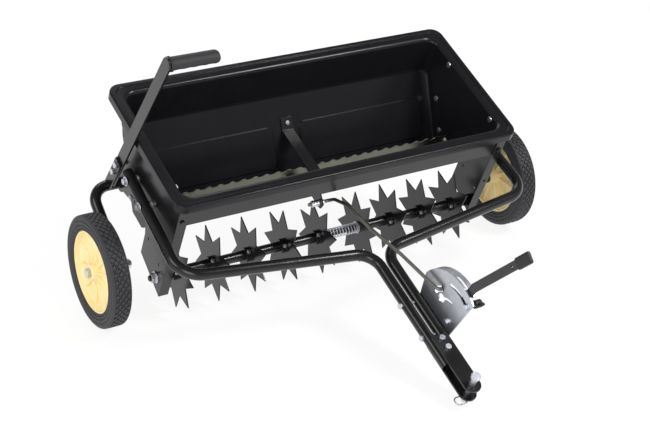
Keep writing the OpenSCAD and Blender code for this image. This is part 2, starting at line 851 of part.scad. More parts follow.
module hair_pin() {
    near = hitch_pin_d / 2 + hair_d / 2 + 1;
    color([0.72, 0.72, 0.75])
        translate([0, -hitch_y, hair_z])
            bent_bar([[26, 0], [-35, 0], [-35, -19], [-13, -19], [2, -near], [13, -near - 4]],
                [0, 9, 9, 6, 4, 0], hair_d / 2, 0);
}

module quadrant_plate() {
    foot = drawbar_z - pivot_z - 12;
    half = asin(lever_w / 2 / (quad_r - 4)) + 2;
    color([0.78, 0.79, 0.84])
        translate([0, -pivot_y, pivot_z])
            difference() {
                yz(quad_x)
                    union() {
                        sector(0, quad_r, 20, 113, quad_t);
                        linear_extrude(height = quad_t)
                            polygon([[-19, foot], [97, foot], [quad_r * cos(20), quad_r * sin(20)],
                                [quad_r * cos(113), quad_r * sin(113)]]);
                        sector(quad_r - 3, quad_r, 20, 113, quad_t + 18);
                    }
                yz(quad_x - 1) {
                    sector(47, 54, 38, 82, quad_t + 2);
                    translate([40, 32, 0])
                        cylinder(h = quad_t + 2, r = 10.5);
                    sector(arm_r - 7.2, arm_r + 6.2, 90 - arm_ang - lever_throw - 4.6,
                        90 - arm_ang + 4.6, quad_t + 2);
                    sector(stop_r - 4.5, stop_r + 4.5, 66, 90 + stop_ang + 3.2, quad_t + 2);
                    cylinder(h = quad_t + 2, r = pivot_r + bolt_fit);
                }
                yz(lever_x - 1)
                    sector(quad_r - 5, quad_r + 2, 90 + lever_lean - lever_throw - half,
                        90 + lever_lean + half, lever_t + 2);
                for (y = tongue_bolt_y)
                    xbar(quad_x - 1, quad_x + quad_t + 1, y + pivot_y, drawbar_z - pivot_z,
                        bolt8 + bolt_fit);
            }
}

pivot_r = 4.8;
stop_y = -pivot_y - stop_r * sin(stop_ang);
stop_z = pivot_z + stop_r * cos(stop_ang);

module quadrant_bolts() {
    color([0.75, 0.76, 0.8]) {
        xhex(quad_x - 6, quad_x, -pivot_y, pivot_z, 13);
        xbar(quad_x - 1, lever_x + lever_t + 10, -pivot_y, pivot_z, pivot_r);
        xbar(quad_x + quad_t, lever_x - 0.1, -pivot_y, pivot_z, 9);
        xhex(lever_x + lever_t + 0.1, lever_x + lever_t + 7, -pivot_y, pivot_z, 15);
        xhex(quad_x - 6, quad_x, stop_y, stop_z, 13);
        xbar(quad_x - 1, quad_x + quad_t + 30, stop_y, stop_z, bolt8);
    }
}

module stop_knob() {
    x0 = quad_x + quad_t;
    color([0.04, 0.04, 0.045])
        difference() {
            union() {
                xbar(x0, x0 + 20, stop_y, stop_z, stop_sleeve);
                xbar(x0 + 17, x0 + 34, stop_y, stop_z, 9);
                translate([x0 + 20, stop_y, stop_z])
                    rotate([35, 0, 0])
                        translate([0, -4, -17])
                            cube([14, 8, 34]);
            }
            xbar(x0 - 1, x0 + 30, stop_y, stop_z, bolt8);
        }
}

module control_lever() {
    hole = [arm_r * sin(arm_ang), arm_r * cos(arm_ang)];
    p2 = lever_p1() + lever_len2 * lever_dir2();
    color([0.07, 0.07, 0.075])
        translate([0, -pivot_y, pivot_z])
            yz(lever_x)
                difference() {
                    linear_extrude(height = lever_t) {
                        circle(r = 15);
                        bar2d([0, 0], lever_p1(), lever_w);
                        translate(lever_p1())
                            circle(r = lever_w / 2);
                        bar2d(lever_p1(), p2, lever_w);
                        translate(hole)
                            circle(r = 10);
                        polygon(concat([for (k = [0 : 4]) arm_at(arm_r + 8, k / 4)],
                            [for (k = [4 : -1 : 0]) arm_at(arm_r - 8, k / 4)]));
                    }
                    translate([0, 0, -1]) {
                        cylinder(h = lever_t + 2, r = pivot_r + run_fit);
                        translate(hole)
                            cylinder(h = lever_t + 2, r = hook_hole);
                        translate(p2 - 63 * lever_dir2())
                            cylinder(h = lever_t + 2, r = 3.5);
                    }
                }
}

module lever_grip() {
    q = lever_p1() + (lever_len2 - 45) * lever_dir2();
    p2 = lever_p1() + (lever_len2 + 3) * lever_dir2();
    p3 = lever_p1() + lever_len2 * lever_dir2();
    color([0.04, 0.04, 0.045])
        translate([0, -pivot_y, pivot_z])
            difference() {
                yz(lever_x - 3)
                    linear_extrude(height = lever_t + 6)
                        bar2d(q, p2, lever_w + 6);
                yz(lever_x)
                    linear_extrude(height = lever_t)
                        bar2d(q - lever_dir2(), p3, lever_w);
            }
}

module axle_bracket() {
    a = bracket_bolts[0];
    b = bracket_bolts[1];
    c = [lift_y, lift_z];
    difference() {
        yz(end_x)
            linear_extrude(height = plate_gap) {
                translate(a)
                    circle(r = 14);
                translate(b)
                    circle(r = 14);
                translate(c)
                    circle(r = tube_r + 9);
                bar2d(a, b, 24);
                bar2d(b, c, 26);
                bar2d(a, c, 26);
                polygon([a, b, c]);
            }
        xbar(end_x - 1, plate_in + 1, lift_y, lift_z, tube_r + run_fit);
        for (p = bracket_bolts)
            xbar(end_x - 1, plate_in + 1, p[0], p[1], bolt6 + bolt_fit);
    }
}

module axle_bracket_left() {
    color([0.08, 0.08, 0.085])
        mirror([1, 0, 0])
            axle_bracket();
}

module axle_bracket_right() {
    color([0.08, 0.08, 0.085])
        axle_bracket();
}

module spike_axle() {
    color([0.7, 0.7, 0.72])
        xbar(-plate_out - 17, plate_out + 17, -shaft_y, shaft_z, axle_d / 2);
}

module axle_nuts() {
    color([0.75, 0.76, 0.8])
        for (m = [0, 1])
            mirror([m, 0, 0])
                difference() {
                    union() {
                        xbar(plate_out, plate_out + 2.5, -shaft_y, shaft_z, 14);
                        xhex(plate_out + 2, plate_out + 13, -shaft_y, shaft_z, 19);
                    }
                    xbar(plate_out - 1, plate_out + 14, -shaft_y, shaft_z, axle_d / 2);
                }
}

module shaft_bushes() {
    color([0.05, 0.05, 0.055])
        for (m = [0, 1])
            mirror([m, 0, 0])
                difference() {
                    xbar(spin_end + 1, plate_in, -shaft_y, shaft_z, spin_d / 2 + 2);
                    xbar(spin_end, plate_in + 1, -shaft_y, shaft_z, axle_d / 2);
                }
}

// Centre line of the spring wire: a straight end, the curls and a straight end, as [x, angle, tilt].
coil_n = curls * 8;
coil_a = spring_a + wire_d;
coil_b = spring_b - wire_d;
coil_tilt = atan2((coil_b - coil_a) / curls, 2 * PI * spring_m);
wire_path = concat([[spring_a, 0, 90]],
    [for (i = [0:coil_n]) [coil_a + (coil_b - coil_a) * i / coil_n, i * 45,
        (i == 0 || i == coil_n) ? 45 : coil_tilt]],
    [[spring_b, coil_n * 45, 90]]);

function wire_at(w) = [w[0], spring_m * cos(w[1]), spring_m * sin(w[1])];

// One ring of six points round the wire: the first axis is radial, the second square to the wire.
function wire_ring(w) =
    let (c = wire_at(w), n1 = [0, cos(w[1]), sin(w[1])],
        n2 = [cos(w[2]), sin(w[1]) * sin(w[2]), -cos(w[1]) * sin(w[2])])
    [for (k = [0:5]) c + wire_d / 2 * (cos(60 * k) * n1 + sin(60 * k) * n2)];

wire_mid = [for (w = wire_path) wire_at(w)];
wire_gap = min([for (i = [0:len(wire_mid) - 7], j = [i + 6:len(wire_mid) - 1])
    norm(wire_mid[i] - wire_mid[j])]) - wire_d;
echo(spring_least_gap_mm = wire_gap);

module centre_spring() {
    n = len(wire_path);
    pts = [for (w = wire_path, q = wire_ring(w)) q];
    sides = [for (i = [0:n - 2], k = [0:5], h = [0, 1])
        h == 0 ? [i * 6 + k, i * 6 + (k + 1) % 6, i * 6 + 6 + k]
        : [i * 6 + (k + 1) % 6, i * 6 + 6 + (k + 1) % 6, i * 6 + 6 + k]];
    caps = [for (k = [1:4], h = [0, 1])
        h == 0 ? [0, k + 1, k] : [n * 6 - 6, n * 6 - 6 + k, n * 6 - 5 + k]];
    color([0.78, 0.79, 0.82])
        translate([0, -shaft_y, shaft_z])
            polyhedron(points = pts, faces = concat(sides, caps));
}

module spring_washers() {
    color([0.75, 0.76, 0.8])
        for (x = [spring_a - washer_t, spring_b])
            difference() {
                xbar(x, x + washer_t, -shaft_y, shaft_z, spring_d / 2 + 1.5);
                xbar(x - 1, x + washer_t + 1, -shaft_y, shaft_z, axle_d / 2);
            }
}

// Start angle of each star and its place along the axle, left half first.
star_turn = [20, -0.9, -2.4, 17.9, 1.9, 10.2, 33, 21.7, 29.2];
function star_x(i) = i < left_n ? -left_x0 + i * left_pitch
    : star_x0 - (left_n + right_n - 1 - i) * star_pitch;
function collar_x(i) = i == left_n ? star_x(i) + star_t / 2
    : star_x(i) - star_t / 2 - collar_l;
function bolt_turn(i) = star_turn[i] + (2 * round(star_n / 3) - 1) * 180 / star_n - 90;

module spike_tube(x0, x1, stars) {
    difference() {
        xbar(x0, x1, -shaft_y, shaft_z, spin_d / 2);
        xbar(x0 - 1, x1 + 1, -shaft_y, shaft_z, spin_in);
        for (i = stars)
            translate([collar_x(i) + collar_l / 2, -shaft_y, shaft_z])
                rotate([bolt_turn(i), 0, 0])
                    cylinder(h = spin_d, r = bolt6);
    }
}

module spike_tube_left() {
    color([0.05, 0.05, 0.055])
        spike_tube(-spin_end, left_end, [0:left_n - 1]);
}

module spike_tube_right() {
    color([0.05, 0.05, 0.055])
        spike_tube(right_start, spin_end, [left_n:left_n + right_n - 1]);
}

module star(i) {
    color([0.09, 0.09, 0.095])
        translate([0, -shaft_y, shaft_z])
            difference() {
                union() {
                    yz(star_x(i) - star_t / 2)
                        linear_extrude(height = star_t)
                            polygon([for (k = [0:2 * star_n - 1])
                                (k % 2 == 0 ? star_r : root_r)
                                * [cos(star_turn[i] + k * 180 / star_n),
                                    sin(star_turn[i] + k * 180 / star_n)]]);
                    xbar(collar_x(i), collar_x(i) + collar_l, 0, 0, collar_r);
                }
                xbar(star_x(i) - 20, star_x(i) + 20, 0, 0, spin_d / 2);
                translate([collar_x(i) + collar_l / 2, 0, 0])
                    rotate([bolt_turn(i), 0, 0])
                        cylinder(h = collar_r + 5, r = bolt6);
            }
}

module star_1() {
    star(0);
}

module star_2() {
    star(1);
}

module star_3() {
    star(2);
}

module star_4() {
    star(3);
}

module star_5() {
    star(4);
}

module star_6() {
    star(5);
}

module star_7() {
    star(6);
}

module star_8() {
    star(7);
}

module star_9() {
    star(8);
}

// Set bolts of one half: each ends inside the wall of the tube and never reaches the axle.
module star_bolts(stars) {
    color([0.75, 0.76, 0.8])
        for (i = stars)
            translate([collar_x(i) + collar_l / 2, -shaft_y, shaft_z])
                rotate([bolt_turn(i), 0, 0]) {
                    translate([0, 0, spin_in + 0.2])
                        cylinder(h = collar_r - spin_in + 2, r = bolt6);
                    translate([0, 0, collar_r])
                        cylinder(h = 6, r = 8 / sqrt(3), $fn = 6);
                }
}

module star_bolts_left() {
    star_bolts([0:left_n - 1]);
}

module star_bolts_right() {
    star_bolts([left_n:left_n + right_n - 1]);
}

module spike_bushes(x0, x1) {
    color([0.8, 0.8, 0.76])
        for (x = [x0, x1 - 18])
            difference() {
                xbar(x, x + 18, -shaft_y, shaft_z, spin_in);
                xbar(x - 1, x + 19, -shaft_y, shaft_z, axle_d / 2 + run_fit);
            }
}

module spike_bushes_left() {
    spike_bushes(-spin_end, left_end);
}

module spike_bushes_right() {
    spike_bushes(right_start, spin_end);
}

handle_tab = 105;
handle_bolt_r = [64, 92];

module lift_axle() {
    p = [[-leg_x, leg_len], [-leg_x, 0], [leg_x, 0], [leg_x, leg_len]];
    color([0.06, 0.06, 0.065])
        difference() {
            union() {
                translate([0, lift_y, lift_z])
                    rotate([leg_ang, 0, 0])
                        bent_bar(p, [0, lift_bend, lift_bend, 0], tube_r, 10);
                for (m = [0, 1])
                    mirror([m, 0, 0])
                        xbar(boss_in, boss_out, -wheel_y, wheel_z, wheel_bolt_d / 2 + 8);
                translate([0, lift_y, lift_z])
                    yz(handle_x - handle_t)
                        linear_extrude(height = handle_t)
                            rotate(90 + handle_lean)
                                translate([0, -handle_w / 2 + 2])
                                    square([handle_tab, handle_w - 4]);
            }
            translate([0, lift_y, lift_z])
                rotate([leg_ang, 0, 0])
                    bent_bar(p, [0, lift_bend, lift_bend, 0], tube_r - tube_wall, 11);
            for (m = [0, 1])
                mirror([m, 0, 0])
                    xbar(boss_in - 1, boss_out + 1, -wheel_y, wheel_z, wheel_bolt_d / 2 + bolt_fit);
            handle_holes();
        }
}

module handle_holes() {
    for (r = handle_bolt_r)
        xbar(handle_x - handle_t - 1, handle_x + handle_t + 1, lift_y - r * sin(handle_lean),
            lift_z + r * cos(handle_lean), bolt8 + bolt_fit);
}

top_y = lift_y - handle_len * sin(handle_lean);
top_z = lift_z + handle_len * cos(handle_lean);

module lift_handle() {
    color([0.1, 0.1, 0.105])
        difference() {
            union() {
                translate([0, lift_y, lift_z])
                    yz(handle_x)
                        linear_extrude(height = handle_t)
                            rotate(90 + handle_lean) {
                                translate([tube_r + 6, -handle_w / 2])
                                    square([handle_len - tube_r - 6, handle_w]);
                                translate([handle_len, 0])
                                    circle(r = handle_w / 2);
                            }
                xbar(handle_x + 1, handle_x + 115, top_y, top_z, 8);
            }
            handle_holes();
        }
}

module handle_grip() {
    color([0.07, 0.07, 0.075])
        difference() {
            union() {
                xbar(handle_x + handle_t + 1, handle_x + 112, top_y, top_z, 15.5);
                xbar(handle_x + handle_t + 1, handle_x + handle_t + 5, top_y, top_z, 18);
                xbar(handle_x + 111, handle_x + 119, top_y, top_z, 13);
            }
            xbar(handle_x, handle_x + 115, top_y, top_z, 8);
        }
}

module handle_bolts() {
    color([0.75, 0.76, 0.8])
        for (r = handle_bolt_r) {
            y = lift_y - r * sin(handle_lean);
            z = lift_z + r * cos(handle_lean);
            xhex(handle_x - handle_t - 5.5, handle_x - handle_t, y, z, 13);
            xbar(handle_x - handle_t - 1, handle_x + handle_t + 8, y, z, bolt8);
            xhex(handle_x + handle_t, handle_x + handle_t + 6, y, z, 13);
        }
}

module wheel_bolts() {
    color([0.75, 0.76, 0.8])
        for (m = [0, 1])
            mirror([m, 0, 0]) {
                xhex(boss_in - 9, boss_in, -wheel_y, wheel_z, 19);
                xbar(boss_in - 12, hub_out + 3, -wheel_y, wheel_z, wheel_bolt_d / 2);
                xhex(hub_out + 1, hub_out + 8, -wheel_y, wheel_z, 19);
            }
}

module hub() {
    rim_t = 5;
    boss = wheel_bolt_d / 2 + 12;
    translate([tyre_mid, -wheel_y, wheel_z])
        rotate([0, 90, 0])
            difference() {
                union() {
                    rotate_extrude()
                        polygon([[0, hub_in - tyre_mid], [boss, hub_in - tyre_mid],
                            [boss, -3], [hub_r - rim_t, -3], [hub_r - rim_t, 4 - tyre_w / 2],
                            [hub_r, 4 - tyre_w / 2], [hub_r, tyre_w / 2 - 4],
                            [hub_r - rim_t, tyre_w / 2 - 4], [hub_r - rim_t, 3], [boss, 3],
                            [boss, hub_out - tyre_mid], [0, hub_out - tyre_mid]]);
                    for (i = [0:rib_n - 1])
                        rotate([0, 0, i * 360 / rib_n])
                            translate([boss - 2, -2, 6 - tyre_w / 2])
                                cube([hub_r - rim_t - boss + 3, 4, tyre_w - 12]);
                }
                translate([0, 0, -tyre_w])
                    cylinder(h = 2 * tyre_w, r = wheel_bolt_d / 2 + run_fit);
            }
}

module hub_left() {
    color([0.89, 0.78, 0.36])
        mirror([1, 0, 0])
            hub();
}

module hub_right() {
    color([0.89, 0.78, 0.36])
        hub();
}

module tyre() {
    h = tyre_w / 2;
    translate([tyre_mid, -wheel_y, wheel_z])
        rotate([0, 90, 0])
            rotate_extrude()
                polygon([[hub_r, 2 - h], [hub_r + 5, 0.5 - h], [hub_r + 14, -h],
                    [wheel_r - 9, 1 - h], [wheel_r - 3, 4 - h], [wheel_r, 9 - h],
                    [wheel_r, h - 9], [wheel_r - 3, h - 4], [wheel_r - 9, h - 1],
                    [hub_r + 14, h], [hub_r + 5, h - 0.5], [hub_r, h - 2]]);
}

module tyre_left() {
    color([0.08, 0.08, 0.085])
        mirror([1, 0, 0])
            tyre();
}

module tyre_right() {
    color([0.08, 0.08, 0.085])
        tyre();
}

stand() hopper_tub();
stand() front_panel();
stand() side_plate_left();
stand() side_plate_right();
stand() hopper_brace();
stand() hopper_bolts();
stand() agitator_strip();
stand() agitator_bushes();
stand() shutter_plate();
stand() shutter_arm();
stand() shutter_rails();
stand() control_rod();
stand() rod_nuts();
stand() drawbar_tube_left();
stand() drawbar_tube_right();
stand() drawbar_bolts();
stand() tongue_bolts();
stand() hitch_plate_upper();
stand() hitch_plate_lower();
stand() hitch_bolts();
stand() hitch_pin();
stand() hair_pin();
stand() quadrant_plate();
stand() quadrant_bolts();
stand() stop_knob();
stand() control_lever();
stand() lever_grip();
stand() axle_bracket_left();
stand() axle_bracket_right();
stand() spike_axle();
stand() axle_nuts();
stand() shaft_bushes();
stand() centre_spring();
stand() spring_washers();
stand() spike_tube_left();
stand() spike_tube_right();
stand() star_1();
stand() star_2();
stand() star_3();
stand() star_4();
stand() star_5();
stand() star_6();
stand() star_7();
stand() star_8();
stand() star_9();
stand() star_bolts_left();
stand() star_bolts_right();
stand() spike_bushes_left();
stand() spike_bushes_right();
stand() lift_axle();
stand() lift_handle();
stand() handle_grip();
stand() handle_bolts();
stand() wheel_bolts();
stand() hub_left();
stand() hub_right();
stand() tyre_left();
stand() tyre_right();
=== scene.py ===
# Tow-behind spike aerator with a drop hopper. Metres, X to the right seen from the drawbar, Y to
# the rear, Z up. Each section is one piece or a group of like pieces, in the order of assembly.
import json
import math

import bmesh
import bpy
from mathutils import Matrix, Vector


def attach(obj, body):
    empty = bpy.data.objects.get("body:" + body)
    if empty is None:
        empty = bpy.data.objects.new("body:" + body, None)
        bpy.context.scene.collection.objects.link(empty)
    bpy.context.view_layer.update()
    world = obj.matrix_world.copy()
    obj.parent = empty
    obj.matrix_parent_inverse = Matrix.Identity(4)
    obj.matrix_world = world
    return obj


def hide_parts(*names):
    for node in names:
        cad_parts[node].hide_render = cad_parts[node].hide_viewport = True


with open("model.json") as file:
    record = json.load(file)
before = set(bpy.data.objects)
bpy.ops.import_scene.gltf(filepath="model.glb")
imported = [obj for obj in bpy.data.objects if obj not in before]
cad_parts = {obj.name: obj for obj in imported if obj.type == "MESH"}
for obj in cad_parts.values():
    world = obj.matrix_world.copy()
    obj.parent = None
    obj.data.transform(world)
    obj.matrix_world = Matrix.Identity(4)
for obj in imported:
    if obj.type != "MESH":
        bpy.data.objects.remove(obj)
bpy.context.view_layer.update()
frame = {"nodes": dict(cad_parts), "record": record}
scene = bpy.context.scene

# Hopper tub: moulded black polypropylene, a rounded trough under a stepped rim with a turned-down
# lip. The back slope carries two raised panels, the front slope a row of outlet ports, and the
# end walls four bosses for the side plates. Drawn level, in millimetres, then set on its wheels.
STANDING = (Matrix.Translation((0, 0.410569, 0.0449287))
            @ Matrix.Rotation(math.radians(20.8306), 4, "X") @ Matrix.Scale(0.001, 4))
RIM_OUT, RIM_BAND, RIM_IN, RIM_Z, STEP_H, LIP_H = (890, 380), (868, 358), (828, 318), 386, 3, 20
FOLD_DEPTH, FOLD_Z = 294, 294
FLOOR_FRONT, FLOOR_BACK, FLOOR_Z = -33, 19, 150
FRONT_SLOPE, BACK_SLOPE = math.radians(51.6325), math.radians(48.366)
WALL, CORNER_R, CORNER_STEPS = 3, 28, 8
PANEL_X, PANEL_UP, PANEL_W, PANEL_H, PANEL_R, PANEL_RISE = 210, 75, 348, 100, 14, 3.2
BOSS_X, BOSS_R, BOSS_L, BOSS_YZ = 421.2, 9, 9.6, ((73, 371), (-118, 369))
PORTS, PORT_STEP, PORT_W, PORT_H, PORT_UP = 10, 70.2, 44, 16, 22


def linear(code):
    """A colour written as sRGB hex, as the linear values that Blender wants."""
    parts = [int(code[i:i + 2], 16) / 255 for i in (1, 3, 5)]
    return [c / 12.92 if c <= 0.04045 else ((c + 0.055) / 1.055) ** 2.4 for c in parts] + [1.0]


def add(tree, kind, sockets=None, **settings):
    """One shader node with its settings; a socket takes a value or another node's output."""
    made = tree.nodes.new(kind)
    for name, value in settings.items():
        setattr(made, name, value)
    for name, value in (sockets or {}).items():
        if isinstance(value, bpy.types.NodeSocket):
            tree.links.new(value, made.inputs[name])
        else:
            made.inputs[name].default_value = value
    return made


def new_finish(name, **sockets):
    """A material with its constant shader values, and the Object coordinates to draw with."""
    finish = bpy.data.materials.new(name)
    finish.use_nodes = True
    shader = finish.node_tree.nodes["Principled BSDF"]
    for socket, value in sockets.items():
        shader.inputs[socket.replace("_", " ")].default_value = value
    place = add(finish.node_tree, "ShaderNodeTexCoord").outputs["Object"]
    return finish, finish.node_tree, shader, place


# Injection-moulded polypropylene: near-black, glossy, with a faint moulded grain that breaks the
# highlights and slow flow marks that change the gloss along the walls.
moulded_black, tree, shader, place = new_finish("moulded_polypropylene_black", IOR=1.49,
                                               Specular_IOR_Level=0.26)
GRAIN, FLOW = 0.0016, 0.09
flow = add(tree, "ShaderNodeTexNoise", {"Vector": place, "Scale": 1 / FLOW, "Detail": 3.0})
grain = add(tree, "ShaderNodeTexNoise", {"Vector": place, "Scale": 1 / GRAIN, "Detail": 1.0})
tint = add(tree, "ShaderNodeMix", {0: flow.outputs["Fac"], 6: linear("#141417"),
                                   7: linear("#1b1b1e")}, data_type="RGBA")
gloss = add(tree, "ShaderNodeMapRange", {"Value": flow.outputs["Fac"], "To Min": 0.16,
                                         "To Max": 0.28})
relief = add(tree, "ShaderNodeBump", {"Height": grain.outputs["Fac"], "Strength": 0.12,
                                      "Distance": 0.0002})
tree.links.new(tint.outputs[2], shader.inputs["Base Color"])
tree.links.new(gloss.outputs[0], shader.inputs["Roughness"])
tree.links.new(relief.outputs[0], shader.inputs["Normal"])

node_body = {n: b for b, names in frame["record"]["behaviour"]["bodies"].items() for n in names}


def put(bm, nodes, finish, edge=0.0, segments=2, angle=38, standing=True):
    """Makes the mesh an object that stands for its CAD nodes, with its edges rounded in mm."""
    if standing:
        bmesh.ops.transform(bm, matrix=STANDING, verts=bm.verts)
    for face in bm.faces:
        face.smooth = True
    for line in bm.edges:
        line.smooth = line.calc_face_angle(0) < math.radians(angle)
    mesh = bpy.data.meshes.new(nodes[0] + "_made")
    bm.to_mesh(mesh)
    bm.free()
    mesh.materials.append(finish)
    piece = bpy.data.objects.new(mesh.name, mesh)
    scene.collection.objects.link(piece)
    if edge > 0:
        round_off = piece.modifiers.new("rounded_edges", "BEVEL")
        round_off.width = edge * 0.001
        round_off.segments = segments
        round_off.use_clamp_overlap = False
        round_off.limit_method = "ANGLE"
        round_off.angle_limit = math.radians(angle)
    piece.modifiers.new("even_shading", "WEIGHTED_NORMAL").keep_sharp = True
    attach(piece, node_body[nodes[0]])
    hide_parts(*nodes)
    return piece


def next_cap(bm, cap):
    """Extrudes the cap face and takes the old one away, so that the shell stays open inside."""
    grown = bmesh.ops.extrude_face_region(bm, geom=[cap])["geom"]
    bmesh.ops.delete(bm, geom=[cap], context="FACES_ONLY")
    return next(g for g in grown if isinstance(g, bmesh.types.BMFace))


def draw_cap(bm, cap, size, centre):
    """Extrudes the cap face and fits its outline to a new size and centre."""
    cap = next_cap(bm, cap)
    span = [max(v.co[i] for v in cap.verts) - min(v.co[i] for v in cap.verts) for i in (0, 1)]
    middle = Vector([(max(v.co[i] for v in cap.verts) + min(v.co[i] for v in cap.verts)) / 2
                     for i in range(3)])
    bmesh.ops.scale(bm, vec=(size[0] / span[0], size[1] / span[1], 1), verts=cap.verts,
                    space=Matrix.Translation(-middle))
    bmesh.ops.translate(bm, vec=Vector(centre) - middle, verts=cap.verts)
    return cap


def rounded_sheet(bm, width, depth, radius, steps, matrix):
    """A flat rounded rectangle as one face."""
    sheet = bmesh.ops.create_grid(bm, x_segments=1, y_segments=1, size=0.5)["verts"]
    bmesh.ops.scale(bm, vec=(width, depth, 1), verts=sheet)
    made = bmesh.ops.bevel(bm, geom=sheet, offset=radius, segments=steps, profile=0.5,
                           affect="VERTICES", material=-1, clamp_overlap=True)
    face = made["faces"][0] if made["faces"] else made["verts"][0].link_faces[0]
    bmesh.ops.transform(bm, matrix=matrix, verts=face.verts)
    return face


def carve(piece, cutter):
    """Cuts one mesh out of a piece and keeps the result as the piece's own mesh."""
    tool_mesh = bpy.data.meshes.new("cutter")
    cutter.to_mesh(tool_mesh)
    cutter.free()
    tool = bpy.data.objects.new("cutter", tool_mesh)
    scene.collection.objects.link(tool)
    cut = piece.modifiers.new("cut", "BOOLEAN")
    cut.operation, cut.solver, cut.object = "DIFFERENCE", "EXACT", tool
    while piece.modifiers[0] != cut:
        piece.modifiers.move(len(piece.modifiers) - 1, 0)
    others = [m for m in piece.modifiers if m != cut]
    for other in others:
        other.show_viewport = False
    whole = piece.evaluated_get(bpy.context.evaluated_depsgraph_get())
    piece.data = bpy.data.meshes.new_from_object(whole)
    piece.modifiers.remove(cut)
    for other in others:
        other.show_viewport = True
    bpy.data.objects.remove(tool)


tub = bmesh.new()
cap = rounded_sheet(tub, *RIM_OUT, CORNER_R, CORNER_STEPS,
                    Matrix.Translation((0, 0, RIM_Z - LIP_H)))
loops = []
for size, y, z, rounding in ((RIM_OUT, 0, RIM_Z, 3.5), (RIM_BAND, 0, RIM_Z, 1.3),
                             (RIM_BAND, 0, RIM_Z - STEP_H, 1.3), (RIM_IN, 0, RIM_Z - STEP_H, 9),
                             ((RIM_IN[0], FOLD_DEPTH), 0, FOLD_Z, 6),
                             ((RIM_IN[0], FLOOR_BACK - FLOOR_FRONT),
                              (FLOOR_FRONT + FLOOR_BACK) / 2, FLOOR_Z, 7)):
    cap = draw_cap(tub, cap, size, (0, y, z))
    loops.append((list(cap.edges), rounding))
for lines, rounding in loops:
    bmesh.ops.bevel(tub, geom=[e for e in lines if e.is_valid], offset=rounding, segments=4,
                    profile=0.5, affect="EDGES", material=-1, clamp_overlap=True)
bmesh.ops.recalc_face_normals(tub, faces=tub.faces)
bmesh.ops.solidify(tub, geom=tub.faces[:], thickness=WALL)
bmesh.ops.recalc_face_normals(tub, faces=tub.faces)
ON_BACK = Matrix.Translation((0, FLOOR_BACK, FLOOR_Z)) @ Matrix.Rotation(BACK_SLOPE, 4, "X")
for side in (-1, 1):
    panel = rounded_sheet(tub, PANEL_W, PANEL_H, PANEL_R, 6,
                          ON_BACK @ Matrix.Translation((side * PANEL_X, PANEL_UP, -1)))
    panel = draw_cap(tub, panel, (PANEL_W, PANEL_H * math.cos(BACK_SLOPE)),
                     ON_BACK @ Vector((side * PANEL_X, PANEL_UP, PANEL_RISE)))
    bmesh.ops.bevel(tub, geom=panel.edges, offset=2.6, segments=1, profile=0.5, affect="EDGES",
                    material=-1, clamp_overlap=True)
for side in (-1, 1):
    for y, z in BOSS_YZ:
        bmesh.ops.create_cone(tub, cap_ends=True, segments=24, radius1=BOSS_R, radius2=BOSS_R,
                              depth=BOSS_L, matrix=Matrix.Translation((side * BOSS_X, y, z))
                              @ Matrix.Rotation(math.pi / 2, 4, "Y"))
hopper = put(tub, ["hopper_tub"], moulded_black, angle=30)
ON_FRONT = (Matrix.Translation((0, FLOOR_FRONT, FLOOR_Z))
            @ Matrix.Rotation(math.pi - FRONT_SLOPE, 4, "X"))
ports = bmesh.new()
for i in range(PORTS):
    bmesh.ops.create_cube(ports, matrix=ON_FRONT @ Matrix.Translation(
        ((i - (PORTS - 1) / 2) * PORT_STEP, PORT_UP, WALL / 2))
        @ Matrix.Diagonal((PORT_W, PORT_H, 14, 1)))
bmesh.ops.transform(ports, matrix=STANDING, verts=ports.verts)
carve(hopper, ports)

# Sheet steel pieces of the body: front panel, side plates with their flanges, inside brace, axle
# brackets, shutter arm and rails. Laser cut, bent and powder coated before they are bolted up.
# Powder coat on steel: satin black with the fine orange peel of baked powder, about 2 mm across,
# drawn a little coarse so that it shows, and a slow change of gloss from film thickness.
powder_coat, tree, shader, place = new_finish("powder_coated_steel_black", IOR=1.5)
PEEL, FILM = 0.0022, 0.06
film = add(tree, "ShaderNodeTexNoise", {"Vector": place, "Scale": 1 / FILM, "Detail": 2.0})
peel = add(tree, "ShaderNodeTexNoise", {"Vector": place, "Scale": 1 / PEEL, "Detail": 2.0})
tint = add(tree, "ShaderNodeMix", {0: film.outputs["Fac"], 6: linear("#131213"),
                                   7: linear("#1b191b")}, data_type="RGBA")
gloss = add(tree, "ShaderNodeMapRange", {"Value": film.outputs["Fac"], "To Min": 0.19,
                                         "To Max": 0.28})
relief = add(tree, "ShaderNodeBump", {"Height": peel.outputs["Fac"], "Strength": 0.05,
                                      "Distance": 0.0002})
tree.links.new(tint.outputs[2], shader.inputs["Base Color"])
tree.links.new(gloss.outputs[0], shader.inputs["Roughness"])
tree.links.new(relief.outputs[0], shader.inputs["Normal"])


def dress(node, finish, edge=0.0, segments=2):
    """A merged copy of a CAD node with its edges rounded, standing for that node."""
    bm = bmesh.new()
    bm.from_mesh(frame["nodes"][node].data)
    bmesh.ops.remove_doubles(bm, verts=bm.verts, dist=2e-5)
    bmesh.ops.dissolve_limit(bm, angle_limit=math.radians(0.5), verts=bm.verts, edges=bm.edges)
    return put(bm, [node], finish, edge, segments, standing=False)


for node in ("front_panel", "side_plate_left", "side_plate_right", "hopper_brace",
             "axle_bracket_left", "axle_bracket_right", "shutter_arm", "shutter_rails"):
    dress(node, powder_coat, 0.5)

